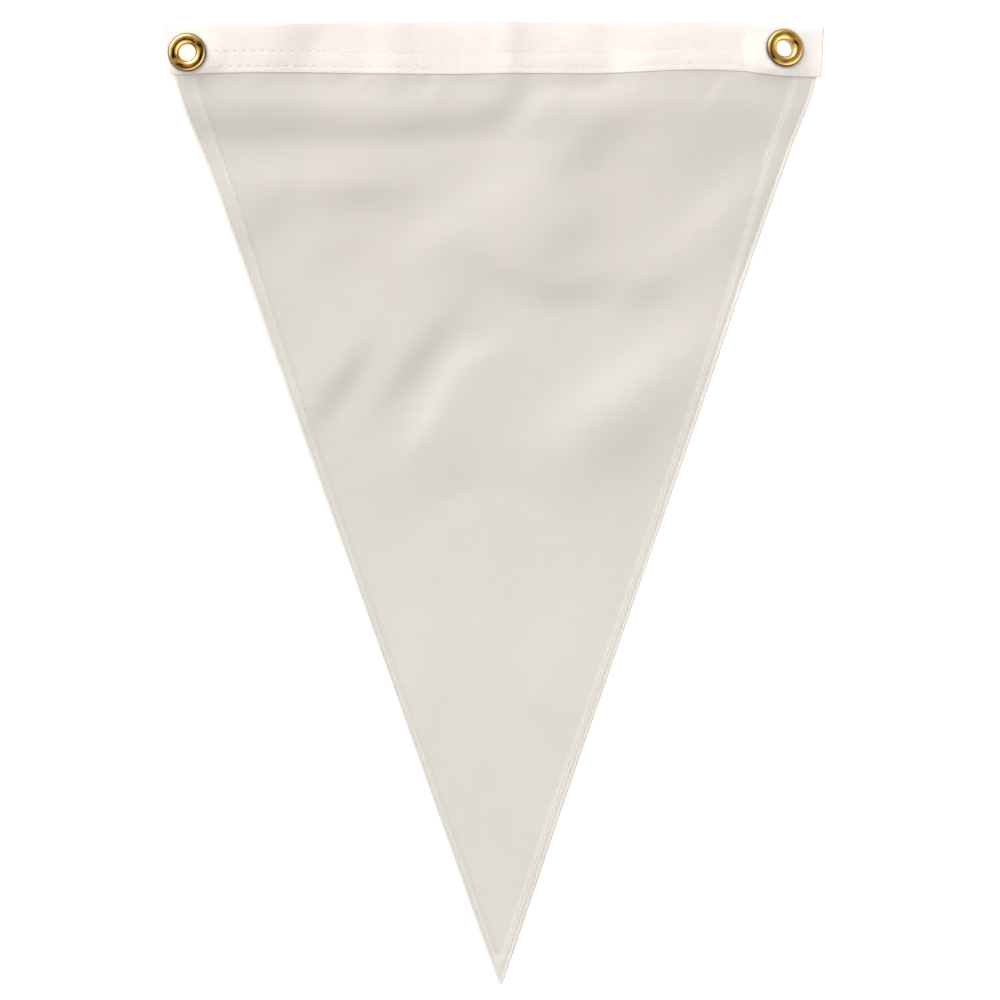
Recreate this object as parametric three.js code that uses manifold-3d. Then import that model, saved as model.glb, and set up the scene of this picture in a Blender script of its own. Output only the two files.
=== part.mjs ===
// A small pennant flag lying face up on a flat surface: a nylon triangle with turned side hems,
// a folded canvas heading sewn over its top edge, and a brass eyelet with a back washer in each
// end of the heading. Millimetres, +Z up. The heading runs along X and the point lies towards -Y.
// The origin is on the resting surface, under the middle of the flag's outline.
import * as THREE from 'three';
import Module from 'manifold-3d';
import { mergeVertices } from 'three/addons/utils/BufferGeometryUtils.js';

const wasm = await Module();
wasm.setup();

// Cloth thicknesses and the clearance that separate pieces keep.
const GAP = 0.3;
const NYLON = 1.0;
const CANVAS = 1.0;
const HEM_RISE = 0.6;
const TIP_RISE = 1.0;
const SLOT = NYLON + 2 * GAP;
const HEADING = 2 * CANVAS + SLOT;

// Spacing of the cloth's grid across and down.
const ACROSS = 8.5;
const DOWN = 7.8;
const FIRST_ROW = 196;
const FINE = 2;
const SEAM = 0.01;

// The nylon's two sides from the heading to the point, with the width of each turned hem.
const TIP_Y = -229;
const TIP_HEM_Y = -215.5;
const SIDES = [
  { y: 222.3, left: -150.2, right: 150.0, leftHem: 11.4, rightHem: 11.4 },
  { y: 202, left: -152.0, right: 153.6, leftHem: 11.4, rightHem: 11.4 },
  { y: 166, left: -139.0, right: 140.8, leftHem: 10.0, rightHem: 10.6 },
  { y: 143, left: -130.2, right: 132.6, leftHem: 9.0, rightHem: 8.4 },
  { y: 95, left: -113.2, right: 115.8, leftHem: 7.2, rightHem: 6.0 },
  { y: 38, left: -93.3, right: 96.6, leftHem: 6.0, rightHem: 5.2 },
  { y: -47, left: -62.4, right: 67.0, leftHem: 4.2, rightHem: 4.4 },
  { y: -142, left: -28.6, right: 34.0, leftHem: 4.4, rightHem: 4.8 },
  { y: -213, left: -3.4, right: 10.0, leftHem: 5.0, rightHem: 5.0 },
  { y: TIP_Y, left: 2.6, right: 4.4, leftHem: 5.0, rightHem: 5.0 },
];

// The heading's folded top edge and its sewn foot, section by section along the strip.
const HEADING_EDGES = [
  { x: -157, top: 227.3, foot: 201.9 },
  { x: -125, top: 227.6, foot: 203.0 },
  { x: -92, top: 227.6, foot: 203.2 },
  { x: -54, top: 228.1, foot: 202.7 },
  { x: -16, top: 228.5, foot: 202.4 },
  { x: 6, top: 229.3, foot: 202.9 },
  { x: 16, top: 228.5, foot: 202.9 },
  { x: 50, top: 227.8, foot: 202.8 },
  { x: 93, top: 228.1, foot: 204.2 },
  { x: 117, top: 227.6, foot: 203.5 },
  { x: 136, top: 226.6, foot: 201.4 },
  { x: 157, top: 225.7, foot: 200.8 },
];
const HEADING_END = 157.1;
const END_SLANT = 3.8;

// Soft folds of the nylon. slope is the steepest slope across the fold: plus faces up and to the
// left, minus faces down and to the right. angle is the way it runs, in degrees from +X.
const FOLDS = [
  { name: 'shoulder', x: -98, y: 175.5, angle: 0, long: 52, wide: 11, slope: -0.12 },
  { name: 'shoulder middle', x: -34, y: 177, angle: 5, long: 28, wide: 10, slope: -0.13 },
  { name: 'shoulder end', x: 2, y: 185, angle: 28, long: 15, wide: 9, slope: -0.12 },
  { name: 'lit bank', x: 19, y: 188, angle: 50, long: 18, wide: 10, slope: 0.12 },
  { name: 'upper left swell', x: -106, y: 193, angle: 0, long: 28, wide: 8, slope: 0.05 },
  { name: 'left swell', x: -100, y: 156, angle: 0, long: 34, wide: 12, slope: 0.06 },
  { name: 'left hollow', x: -108, y: 134, angle: 60, long: 20, wide: 17, slope: -0.1 },
  { name: 'round dent', x: -62, y: 144, angle: 0, long: 25, wide: 13, slope: -0.14 },
  { name: 'dent tail', x: -73, y: 117, angle: 30, long: 18, wide: 12, slope: -0.06 },
  { name: 'small swell', x: -31, y: 127, angle: 40, long: 16, wide: 12, slope: 0.07 },
  { name: 'centre swell', x: 1, y: 148, angle: 30, long: 30, wide: 20, slope: 0.1 },
  { name: 'right dent', x: 48, y: 169, angle: 45, long: 21, wide: 17, slope: -0.14 },
  { name: 'right shoulder', x: 106, y: 169, angle: 0, long: 26, wide: 9, slope: -0.05 },
  { name: 'right swell', x: 106, y: 141, angle: 42, long: 36, wide: 15, slope: 0.12 },
  { name: 'middle hollow', x: 36, y: 124, angle: 45, long: 22, wide: 17, slope: -0.1 },
  { name: 'middle trough', x: 8, y: 106, angle: -25, long: 22, wide: 12, slope: -0.14 },
  { name: 'trough end', x: 40, y: 99, angle: 10, long: 22, wide: 12, slope: -0.13 },
  { name: 'trough tail', x: 74, y: 98, angle: 30, long: 16, wide: 13, slope: -0.1 },
  { name: 'long crease', x: -38, y: 64, angle: 53, long: 30, wide: 11, slope: -0.17 },
  { name: 'hem crease', x: -73, y: 54, angle: 56, long: 24, wide: 10, slope: -0.2 },
  { name: 'crest top', x: -9, y: 71, angle: 27, long: 16, wide: 9, slope: 0.1 },
  { name: 'crest', x: -30, y: 45, angle: 62, long: 26, wide: 9, slope: 0.14 },
  { name: 'broad ridge', x: 60, y: 58, angle: 36, long: 54, wide: 19, slope: 0.12 },
  { name: 'lee of ridge', x: 68, y: 32, angle: 45, long: 38, wide: 25, slope: -0.1 },
  { name: 'low left swell', x: -40, y: -60, angle: 80, long: 40, wide: 14, slope: 0.05 },
  { name: 'low left fall', x: -26, y: -105, angle: 90, long: 22, wide: 9, slope: -0.05 },
  { name: 'low swell', x: 16, y: -80, angle: 90, long: 22, wide: 14, slope: 0.05 },
  { name: 'low fall', x: -2, y: -150, angle: 85, long: 24, wide: 9, slope: -0.06 },
];
const FOLD_REACH = 3;
const FOLD_CLEAR = 12;

// Swells that lift the heading near its ends: the crest's middle, the way it falls to the end, its
// height, where and how softly it falls, how far back it begins, and how far down the nylon it goes.
const SWELLS = [
  { name: 'left', x: -127, y: 200, angle: 138, rise: 4.6, fall: 23, soft: 6, back: 27, backSoft: 8, fade: 46 },
  { name: 'right', x: 118, y: 204, angle: 28, rise: 7.2, fall: 22, soft: 6.2, back: 40, backSoft: 12, fade: 100 },
];

// Upright waves of the stiff heading, which fade out down the nylon.
const WAVES = [
  { name: 'storage crease', x: 7, wide: 7, rise: 1.5 },
  { name: 'second wave', x: -48, wide: 9, rise: 0.7 },
];
const WAVE_FADE = 14;

// How far the cloth floats above the surface, at the heading and between there and the point, and
// the places where it lies flat on the surface.
const FLOAT = 0.5;
const LOFT = 1.7;
const LOFT_TOP = 42;
const LOFT_FOOT = -40;
const LOFT_LENGTH = 90;
const RESTS = [
  { x: -76, y: 213, reach: 19 },
  { x: 46, y: 212, reach: 20 },
  { x: 0, y: -20, reach: 32 },
  { x: 3, y: -185, reach: 36 },
];
const PRESS = 2.8;
const TOUCH = 0.5;

// Brass eyelets: the hole, the domed flange on the face, and the flat washer behind.
const EYELET = {
  throat: 3.95,
  metal: 0.5,
  flange: 9.2,
  crestOuter: 7.2,
  crestInner: 6.4,
  crest: 2.1,
  rim: 0.4,
  roll: 0.9,
  rollEnd: Math.PI * 1.72,
  segments: 28,
};
const WASHER = { inner: 4.8, foot: 6.4, bowl: 7.3, rim: 8.3, outer: 8.7, plate: 0.4, dish: 0.4, seat: 0.35 };
const BARREL = EYELET.throat + EYELET.metal;
const PUNCH = BARREL + 0.35;
const PUNCH_LENGTH = 24;
const ROLL_SEAT = 0.75;
const SEAT = 12.5;
const SEAT_BLEND = 21;
const EYELETS = [
  { side: 'left', x: -145.0, y: 212.6 },
  { side: 'right', x: 138.0, y: 214.6 },
];

const COLORS = { nylon: 0xded9d0, canvas: 0xfbf4ee, brass: 0xc8973f };

const smooth = (t) => {
  const k = Math.min(Math.max(t, 0), 1);
  return k * k * (3 - 2 * k);
};

// Reads a column of a table between its rows, eased so that the curve has no corners.
function along(table, key, column, at) {
  const rising = table[0][key] < table[table.length - 1][key];
  const rows = rising ? table : [...table].reverse();
  const last = rows.length - 1;
  if (at <= rows[0][key]) return rows[0][column];
  if (at >= rows[last][key]) return rows[last][column];
  const i = rows.findIndex((row) => row[key] > at) - 1;
  const [a, b] = [rows[i], rows[i + 1]];
  const [before, after] = [rows[Math.max(i - 1, 0)], rows[Math.min(i + 2, last)]];
  const width = b[key] - a[key];
  const t = (at - a[key]) / width;
  const slopeA = ((b[column] - before[column]) / (b[key] - before[key])) * width;
  const slopeB = ((after[column] - a[column]) / (after[key] - a[key])) * width;
  return (
    a[column] * (1 + 2 * t) * (1 - t) ** 2 + slopeA * t * (1 - t) ** 2 +
    b[column] * (3 - 2 * t) * t ** 2 - slopeB * (1 - t) * t ** 2
  );
}

const topOf = (x) => along(HEADING_EDGES, 'x', 'top', x);
const footOf = (x) => along(HEADING_EDGES, 'x', 'foot', x);

// Depth of a point of the heading's walls below its folded edge, as a share of the way to the foot.
const WALL_SHARES = [0, 0.13, 0.42, 0.71, 1];
const wallDepth = (x, share) => HEADING / 2 + (topOf(x) - footOf(x) - HEADING / 2) * share;

const side = (column, y) => along(SIDES, 'y', column, y);

// One fold: a slope across a line, with a soft lobe each side, that dies out at its two ends.
function foldHeight(fold, x, y) {
  const a = THREE.MathUtils.degToRad(fold.angle);
  const s = (x - fold.x) * Math.cos(a) + (y - fold.y) * Math.sin(a);
  const t = (y - fold.y) * Math.cos(a) - (x - fold.x) * Math.sin(a);
  const w = t / fold.wide;
  return ((-fold.slope * t) / (1 + w * w)) * Math.exp(-((s / fold.long) ** 2) - (w / FOLD_REACH) ** 2);
}

// One swell: rises gently, then falls towards the heading's end, and fades out down the nylon.
function swellHeight(swell, x, y, below) {
  const a = THREE.MathUtils.degToRad(swell.angle);
  const u = (x - swell.x) * Math.cos(a) + (y - swell.y) * Math.sin(a);
  const front = 1 + Math.exp((u - swell.fall) / swell.soft);
  const back = 1 + Math.exp(-(u + swell.back) / swell.backSoft);
  return (swell.rise / (front * back)) * (1 - smooth(below / swell.fade));
}

// Height of the cloth's underside before the eyelets flatten their seats.
function drape(x, y) {
  const below = footOf(x) - y;
  let h = FLOAT + LOFT * smooth(below / LOFT_TOP) * smooth((y - LOFT_FOOT) / LOFT_LENGTH);
  for (const fold of FOLDS) h += foldHeight(fold, x, y) * smooth(below / FOLD_CLEAR);
  for (const swell of SWELLS) h += swellHeight(swell, x, y, below);
  for (const wave of WAVES) {
    h += wave.rise * Math.exp(-(((x - wave.x) / wave.wide) ** 2)) * (1 - smooth(below / WAVE_FADE));
  }
  for (const rest of RESTS) {
    h -= PRESS * Math.exp(-(((x - rest.x) / rest.reach) ** 2) - ((y - rest.y) / rest.reach) ** 2);
  }
  return h > 0 ? (h * h) / (h + TOUCH) : 0;
}

// The plane that each eyelet sits on, touching the drape at the eyelet's centre.
const STEP = 0.5;
const seats = EYELETS.map(({ side: name, x, y }) => ({
  name,
  x,
  y,
  z: drape(x, y),
  dx: (drape(x + STEP, y) - drape(x - STEP, y)) / (2 * STEP),
  dy: (drape(x, y + STEP) - drape(x, y - STEP)) / (2 * STEP),
}));

// Height of the flag's underside above the surface: the heading's back, and the nylon below it.
function underside(x, y) {
  let h = drape(x, y);
  for (const seat of seats) {
    const r = Math.hypot(x - seat.x, y - seat.y);
    const plane = seat.z + seat.dx * (x - seat.x) + seat.dy * (y - seat.y);
    h += (plane - h) * (1 - smooth((r - SEAT) / (SEAT_BLEND - SEAT)));
  }
  return Math.max(h, 0);
}

// The nylon is held inside the heading's slot, and comes down off it at a shoulder below the foot.
const SHOULDER_FROM = 12;
const SHOULDER_LENGTH = 22;
function nylonUnder(x, y) {
  const below = footOf(x) - y;
  return underside(x, y) + (CANVAS + GAP) * (1 - smooth((below - SHOULDER_FROM) / SHOULDER_LENGTH));
}

// Extra thickness of the turned hems and of the folded point, which starts clear of the heading.
const HEM_CLEAR = 3;
const HEM_FADE = 6;
function hemRise(point) {
  const below = footOf(point.x) - point.y;
  const folded = point.y < TIP_HEM_Y ? TIP_RISE : HEM_RISE;
  return point.hem * folded * smooth((below - HEM_CLEAR) / HEM_FADE);
}

// Grid lines across the flag between two edges. In the heading they stand closer where it bends
// most: at the storage crease and towards the eyelets.
const FINE_BENDS = [
  { x: EYELETS[0].x, reach: 28 },
  { x: EYELETS[1].x, reach: 34 },
  { x: WAVES[0].x, reach: 14 },
];
function gridLines(from, to, fine) {
  const step = ACROSS / FINE;
  const lines = [];
  for (let k = Math.ceil(from / step); k * step <= to; k += 1) {
    const bent = fine && FINE_BENDS.some((bend) => Math.abs(k * step - bend.x) < bend.reach);
    if (k % FINE === 0 || bent) lines.push(k * step);
  }
  return lines;
}

// One row of the nylon's grid: edge, hem, hem step, even grid, hem step, hem, edge. The edge itself
// is rolled down, so it has only a share of the hem's extra thickness.
const ROLLED = 1.2;
const ROLLED_SHARE = 0.15;
const TIP_SHARE = 0.4;
const HEM_STEP = 0.6;
const ROOM = 2;
function nylonRow(y) {
  const left = side('left', y);
  const right = side('right', y);
  const leftHem = left + side('leftHem', y);
  const rightHem = right - side('rightHem', y);
  const point = (x, hem) => ({ x, y, hem });
  if (y <= TIP_Y) return [point(left, TIP_SHARE), point(right, TIP_SHARE)];
  const edges = [
    point(left, ROLLED_SHARE),
    point(left + ROLLED, 1),
    point(right - ROLLED, 1),
    point(right, ROLLED_SHARE),
  ];
  if (rightHem - leftHem < 2 * HEM_STEP + ROOM) {
    return right - left > 2 * ROLLED + ROOM ? edges : [edges[0], edges[3]];
  }
  const from = leftHem + HEM_STEP;
  const to = rightHem - HEM_STEP;
  return [
    edges[0], edges[1], point(leftHem, 1), point(from, 0),
    ...gridLines(from + ROOM, to - ROOM, false).map((x) => point(x, 0)),
    point(to, 0), point(rightHem, 1), edges[2], edges[3],
  ];
}

// One row of the part of the nylon that is caught inside the heading, in line with its walls.
function tongueRow(share) {
  const left = side('left', SIDES[0].y);
  const right = side('right', SIDES[0].y);
  const lines = gridLines(left + ROOM / 2, right - ROOM / 2, true);
  return [left, ...lines, right].map((x) => ({ x, y: topOf(x) - wallDepth(x, share), hem: 0 }));
}

// Of a cell's two diagonals, whether the one that rises to the right is the shorter.
const EVEN = 1e-6;
const span = (a, b) => Math.hypot(a.x - b.x, a.y - b.y);
const risesRight = (upperLeft, upperRight, lowerLeft, lowerRight) =>
  span(upperRight, lowerLeft) < span(upperLeft, lowerRight) - EVEN;

// Triangles between two rows of points, the upper row first, taking the shorter diagonal each time.
function zip(upper, lower, firstUpper, firstLower) {
  const faces = [];
  let i = 0;
  let j = 0;
  while (i < upper.length - 1 || j < lower.length - 1) {
    const canUpper = i < upper.length - 1;
    const canLower = j < lower.length - 1;
    const takeUpper =
      canUpper && (!canLower || risesRight(upper[i], upper[i + 1], lower[j], lower[j + 1]));
    if (takeUpper) {
      faces.push([firstUpper + i, firstLower + j, firstUpper + i + 1]);
      i += 1;
    } else {
      faces.push([firstUpper + i, firstLower + j, firstLower + j + 1]);
      j += 1;
    }
  }
  return faces;
}

// A closed sheet from rows of points: an underside, a face above it and a rim between them.
function sheetGeometry(rows, under, over) {
  const points = rows.flat();
  const starts = rows.map((_, r) => rows.slice(0, r).reduce((n, row) => n + row.length, 0));
  const faces = [];
  for (let r = 0; r < rows.length - 1; r += 1) {
    faces.push(...zip(rows[r], rows[r + 1], starts[r], starts[r + 1]));
  }
  const end = (r) => starts[r] + rows[r].length - 1;
  const last = rows.length - 1;
  const rim = [
    ...rows.map((_, r) => starts[r]),
    ...rows[last].map((_, i) => starts[last] + i).slice(1),
    ...rows.map((_, r) => end(last - r)).slice(1),
    ...rows[0].map((_, i) => end(0) - i).slice(1, -1),
  ];
  const n = points.length;
  const position = [
    ...points.flatMap((p) => [p.x, p.y, under(p)]),
    ...points.flatMap((p) => [p.x, p.y, over(p)]),
  ];
  const index = faces.flatMap(([a, b, c]) => [c, b, a, a + n, b + n, c + n]);
  rim.forEach((a, i) => {
    const b = rim[(i + 1) % rim.length];
    index.push(a, b, b + n, a, b + n, a + n);
  });
  return indexed(position, index);
}

// The heading's section as depth below the folded edge and height above the back: the back wall,
// round the fold, the front wall, then back along the slot that holds the nylon.
const FOLD_POINTS = 4;
function headingSection(x) {
  const middle = HEADING / 2;
  const up = [...WALL_SHARES].reverse();
  const wall = (shares, height) => shares.map((share) => ({ depth: wallDepth(x, share), height }));
  const turn = (radius, way) =>
    Array.from({ length: FOLD_POINTS - 1 }, (_, i) => {
      const a = (Math.PI * (i + 1)) / FOLD_POINTS;
      return { depth: middle - radius * Math.sin(a), height: middle - way * radius * Math.cos(a) };
    });
  return [
    ...wall(up, 0),
    ...turn(middle, 1),
    ...wall(WALL_SHARES, HEADING),
    ...wall(up, HEADING - CANVAS),
    ...turn(SLOT / 2, -1),
    ...wall(WALL_SHARES, CANVAS),
  ];
}

// The heading: its section carried along the strip, with slanted ends.
function headingGeometry() {
  const inner = HEADING_END - END_SLANT - ROOM;
  const stations = [
    { x: -HEADING_END, slant: END_SLANT },
    ...gridLines(-inner, inner, true).map((x) => ({ x, slant: 0 })),
    { x: HEADING_END, slant: -END_SLANT },
  ];
  const loops = stations.map(({ x, slant }) => {
    const depth = topOf(x) - footOf(x);
    return headingSection(x).map((p) => {
      const at = { x: x + (slant * p.depth) / depth, y: topOf(x) - p.depth };
      return { ...at, z: underside(at.x, at.y) + p.height };
    });
  });
  const cap = THREE.ShapeUtils.triangulateShape(
    headingSection(HEADING_END).map((p) => new THREE.Vector2(-p.depth, p.height)),
    [],
  );
  return loftGeometry(loops, cap);
}

// A closed solid through a run of loops, closed at both ends by the cap's triangles.
function loftGeometry(loops, cap) {
  const n = loops[0].length;
  const index = [];
  for (let k = 0; k < loops.length - 1; k += 1) {
    for (let i = 0; i < n; i += 1) {
      const next = (i + 1) % n;
      const [a, b] = [k * n + i, k * n + next];
      const [near, far] = [loops[k], loops[k + 1]];
      const down = near[i].y >= near[next].y;
      const rises = down
        ? risesRight(near[i], far[i], near[next], far[next])
        : risesRight(near[next], far[next], near[i], far[i]);
      if (rises === down) index.push(a, b, a + n, b, b + n, a + n);
      else index.push(a, b, b + n, a, b + n, a + n);
    }
  }
  const last = (loops.length - 1) * n;
  for (const [a, b, c] of cap) index.push(c, b, a, last + a, last + b, last + c);
  return indexed(loops.flat().flatMap((p) => [p.x, p.y, p.z]), index);
}

function indexed(position, index) {
  const geometry = new THREE.BufferGeometry();
  geometry.setAttribute('position', new THREE.Float32BufferAttribute(position, 3));
  geometry.setIndex(index);
  geometry.computeVertexNormals();
  return geometry;
}

// Half the profile of a pressed eyelet, in radius and height above the cloth's face. grip is the
// thickness of the cloth that it clamps. The barrel ends rolled out behind the washer.
function eyeletProfile(grip) {
  const { throat, metal, flange, crestOuter, crestInner, crest, rim, roll, rollEnd } = EYELET;
  const rollTop = -grip - ROLL_SEAT;
  const outside = 3;
  const inside = 2;
  const arc = (x, y, rx, ry, from, to, steps = outside) =>
    new THREE.EllipseCurve(x, y, rx, ry, from, to, to < from).getPoints(steps);
  const rollX = throat + roll;
  return [
    ...arc(crestOuter, rim, flange - crestOuter, crest - rim, 0, Math.PI / 2),
    ...arc(crestInner, 0, crestInner - throat, crest, Math.PI / 2, Math.PI),
    ...arc(rollX, rollTop, roll, roll, Math.PI, rollEnd),
    ...arc(rollX, rollTop, roll - metal, roll - metal, rollEnd, Math.PI, inside),
    ...arc(crestInner, 0, crestInner - BARREL, crest - metal, Math.PI, Math.PI / 2, inside),
    ...arc(crestOuter, rim, flange - crestOuter - metal, crest - rim - metal, Math.PI / 2, 0, inside),
  ];
}

// Half the profile of the washer: a flat ring round the barrel with a dished outer rim.
function washerProfile(grip) {
  const { inner, foot, bowl, rim, outer, plate, dish, seat } = WASHER;
  const face = -grip - seat;
  return [
    [inner, face],
    [inner, face - plate],
    [foot, face - plate],
    [bowl, face - plate - dish],
    [rim, face - plate - dish / 2],
    [outer, face - plate / 2],
    [outer, face],
  ].map(([r, z]) => new THREE.Vector2(r, z));
}

// Turns a closed profile about Z.
function turned(profile) {
  const geometry = new THREE.LatheGeometry([...profile, profile[0]], EYELET.segments);
  return geometry.rotateX(Math.PI / 2);
}

// A geometry as a solid for joining and cutting, and a solid back as a geometry.
function solidOf(geometry, matrix = new THREE.Matrix4()) {
  const bare = geometry.clone().applyMatrix4(matrix);
  for (const name of ['normal', 'uv']) bare.deleteAttribute(name);
  const merged = mergeVertices(bare, 1e-4);
  return new wasm.Manifold(
    new wasm.Mesh({
      numProp: 3,
      vertProperties: merged.attributes.position.array,
      triVerts: new Uint32Array(merged.index.array),
    }),
  );
}

function geometryOf(solid) {
  const mesh = solid.getMesh();
  return indexed(Array.from(mesh.vertProperties), Array.from(mesh.triVerts));
}

// A punch along each eyelet's axis, which cuts the hole that its barrel passes through.
function punchHoles(geometry, eyelets) {
  const punch = new THREE.CylinderGeometry(PUNCH, PUNCH, PUNCH_LENGTH, EYELET.segments).rotateX(Math.PI / 2);
  const cut = eyelets.reduce(
    (solid, group) => solid.subtract(solidOf(punch, group.matrixWorld)),
    solidOf(geometry),
  );
  return geometryOf(cut);
}

const material = (color, roughness, metalness) =>
  new THREE.MeshStandardMaterial({ color, roughness, metalness, flatShading: true });
const nylon = material(COLORS.nylon, 0.75, 0);
const canvas = material(COLORS.canvas, 0.9, 0);
const brass = material(COLORS.brass, 0.22, 1);

function named(name, geometry, finish) {
  const mesh = new THREE.Mesh(geometry, finish);
  mesh.name = name;
  return mesh;
}

// An eyelet and its washer, standing square to the cloth at its seat.
function eyeletGroup(seat) {
  const normal = new THREE.Vector3(-seat.dx, -seat.dy, 1).normalize();
  const grip = HEADING * normal.z;
  const group = new THREE.Group();
  group.position.set(seat.x, seat.y, seat.z + HEADING);
  group.quaternion.setFromUnitVectors(new THREE.Vector3(0, 0, 1), normal);
  group.add(named(`eyelet_${seat.name}`, turned(eyeletProfile(grip)), brass));
  group.add(named(`washer_${seat.name}`, turned(washerProfile(grip)), brass));
  group.updateMatrixWorld(true);
  return group;
}

function nylonRows() {
  const levels = [];
  for (let y = FIRST_ROW; y > TIP_HEM_Y + DOWN / 2; y -= DOWN) levels.push(y);
  levels.push(TIP_HEM_Y + HEM_STEP, TIP_HEM_Y - SEAM, (TIP_HEM_Y + TIP_Y) / 2, TIP_Y);
  return [...WALL_SHARES.slice(1).map(tongueRow), ...levels.map(nylonRow)];
}

const eyelets = seats.map(eyeletGroup);
const fly = sheetGeometry(
  nylonRows(),
  (p) => nylonUnder(p.x, p.y),
  (p) => nylonUnder(p.x, p.y) + NYLON + hemRise(p),
);

const flag = new THREE.Group();
flag.add(named('fly', punchHoles(fly, eyelets), nylon));
flag.add(named('heading', punchHoles(headingGeometry(), eyelets), canvas));
flag.add(...eyelets);

export default flag;
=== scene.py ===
# %% [markdown]
# # A pennant flag, laid flat
# The flag is a nylon triangle with turned side hems. A strip of cotton duck is folded over its broad
# edge and sewn through twice, and a brass eyelet goes through each end of that strip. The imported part
# gives the frame: each piece below is made in the same place, in metres, and stands for one of its nodes.

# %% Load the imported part
import math

import bpy
import numpy as np
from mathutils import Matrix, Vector


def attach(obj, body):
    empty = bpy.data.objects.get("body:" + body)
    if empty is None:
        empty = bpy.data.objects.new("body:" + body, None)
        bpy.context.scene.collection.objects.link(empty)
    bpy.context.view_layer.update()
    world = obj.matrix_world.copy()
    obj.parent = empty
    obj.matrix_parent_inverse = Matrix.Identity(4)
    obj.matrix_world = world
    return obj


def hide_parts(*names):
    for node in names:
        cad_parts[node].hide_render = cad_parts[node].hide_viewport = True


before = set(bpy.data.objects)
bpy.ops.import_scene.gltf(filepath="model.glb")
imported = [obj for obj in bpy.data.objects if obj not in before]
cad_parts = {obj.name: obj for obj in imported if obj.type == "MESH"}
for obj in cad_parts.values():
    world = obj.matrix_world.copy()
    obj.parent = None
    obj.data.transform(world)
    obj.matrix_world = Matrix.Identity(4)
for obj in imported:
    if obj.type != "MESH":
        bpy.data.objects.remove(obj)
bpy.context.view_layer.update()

print("nodes:", sorted(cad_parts))

# %% [markdown]
# ## How the flag lies
# Cloth on a table is a height above that table at every place. A cloth simulation could find it, but it
# would not give the folds of this flag. So the folds are set down one by one, as they are in the part:
# a fold is a slope across a line, which dies out at both ends. The left swell and the heading's middle wave
# are lower than in the part, because the light shows them so. Lengths in these tables are millimetres.

# %% Outlines of the nylon and of the heading
TIP_Y = -229
TIP_HEM_Y = -215.5
# y, left edge, right edge, width of the left hem, width of the right hem
SIDES = np.array([
    (222.3, -150.2, 150.0, 11.4, 11.4),
    (202, -152.0, 153.6, 11.4, 11.4),
    (166, -139.0, 140.8, 10.0, 10.6),
    (143, -130.2, 132.6, 9.0, 8.4),
    (95, -113.2, 115.8, 7.2, 6.0),
    (38, -93.3, 96.6, 6.0, 5.2),
    (-47, -62.4, 67.0, 4.2, 4.4),
    (-142, -28.6, 34.0, 4.4, 4.8),
    (-213, -3.4, 10.0, 5.0, 5.0),
    (TIP_Y, 2.6, 4.4, 5.0, 5.0),
])
# x, folded top edge, sewn foot
HEADING_EDGES = np.array([
    (-157, 227.3, 201.9),
    (-125, 227.6, 203.0),
    (-92, 227.6, 203.2),
    (-54, 228.1, 202.7),
    (-16, 228.5, 202.4),
    (6, 229.3, 202.9),
    (16, 228.5, 202.9),
    (50, 227.8, 202.8),
    (93, 228.1, 204.2),
    (117, 227.6, 203.5),
    (136, 226.6, 201.4),
    (157, 225.7, 200.8),
])
HEADING_END = 157.1
LEFT_SLANT, RIGHT_SLANT = 3.6, 1.5


def along(table, column, at):
    """A column of a table, read between its rows on a curve with no corners."""
    rows = table[np.argsort(table[:, 0])]
    key, value = rows[:, 0], rows[:, column]
    slope = np.gradient(value)
    slope[1:-1] = (value[2:] - value[:-2]) / (key[2:] - key[:-2])
    slope[[0, -1]] = (value[[1, -1]] - value[[0, -2]]) / (key[[1, -1]] - key[[0, -2]])
    i = np.clip(np.searchsorted(key, at, side="right") - 1, 0, len(key) - 2)
    width = key[i + 1] - key[i]
    t = np.clip((at - key[i]) / width, 0, 1)
    ends = value[i] * (1 + 2 * t) * (1 - t) ** 2 + value[i + 1] * (3 - 2 * t) * t**2
    return ends + width * t * (1 - t) * (slope[i] * (1 - t) - slope[i + 1] * t)


def smooth(t):
    k = np.clip(t, 0, 1)
    return k * k * (3 - 2 * k)


def bell(t):
    return np.exp(-(t**2))


def top_of(x):
    return along(HEADING_EDGES, 1, x)


def foot_of(x):
    return along(HEADING_EDGES, 2, x)


print("heading depth at the middle:", round(float(top_of(0) - foot_of(0)), 1), "mm")

# %% Folds, swells and places that touch the table
# x, y, angle from +X, length, width, slope: plus faces up and to the left
FOLDS = (
    (-98, 175.5, 0, 52, 11, -0.12),
    (-34, 177, 5, 28, 10, -0.13),
    (2, 185, 28, 15, 9, -0.12),
    (19, 188, 50, 18, 10, 0.12),
    (-106, 193, 0, 28, 8, 0.05),
    (-100, 156, 0, 34, 12, 0.06),
    (-108, 134, 60, 20, 17, -0.1),
    (-62, 144, 0, 25, 13, -0.14),
    (-73, 117, 30, 18, 12, -0.06),
    (-31, 127, 40, 16, 12, 0.07),
    (1, 148, 30, 30, 20, 0.1),
    (48, 169, 45, 21, 17, -0.14),
    (106, 169, 0, 26, 9, -0.05),
    (106, 141, 42, 36, 15, 0.12),
    (36, 124, 45, 22, 17, -0.1),
    (8, 106, -25, 22, 12, -0.14),
    (40, 99, 10, 22, 12, -0.13),
    (74, 98, 30, 16, 13, -0.1),
    (-38, 64, 53, 30, 11, -0.17),
    (-73, 54, 56, 24, 10, -0.2),
    (-9, 71, 27, 16, 9, 0.1),
    (-30, 45, 62, 26, 9, 0.14),
    (60, 58, 36, 54, 19, 0.12),
    (68, 32, 45, 38, 25, -0.1),
    (-40, -60, 80, 40, 14, 0.05),
    (-26, -105, 90, 22, 9, -0.05),
    (16, -80, 90, 22, 14, 0.05),
    (-2, -150, 85, 24, 9, -0.06),
)
FOLD_REACH = 3
FOLD_CLEAR = 12
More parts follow.
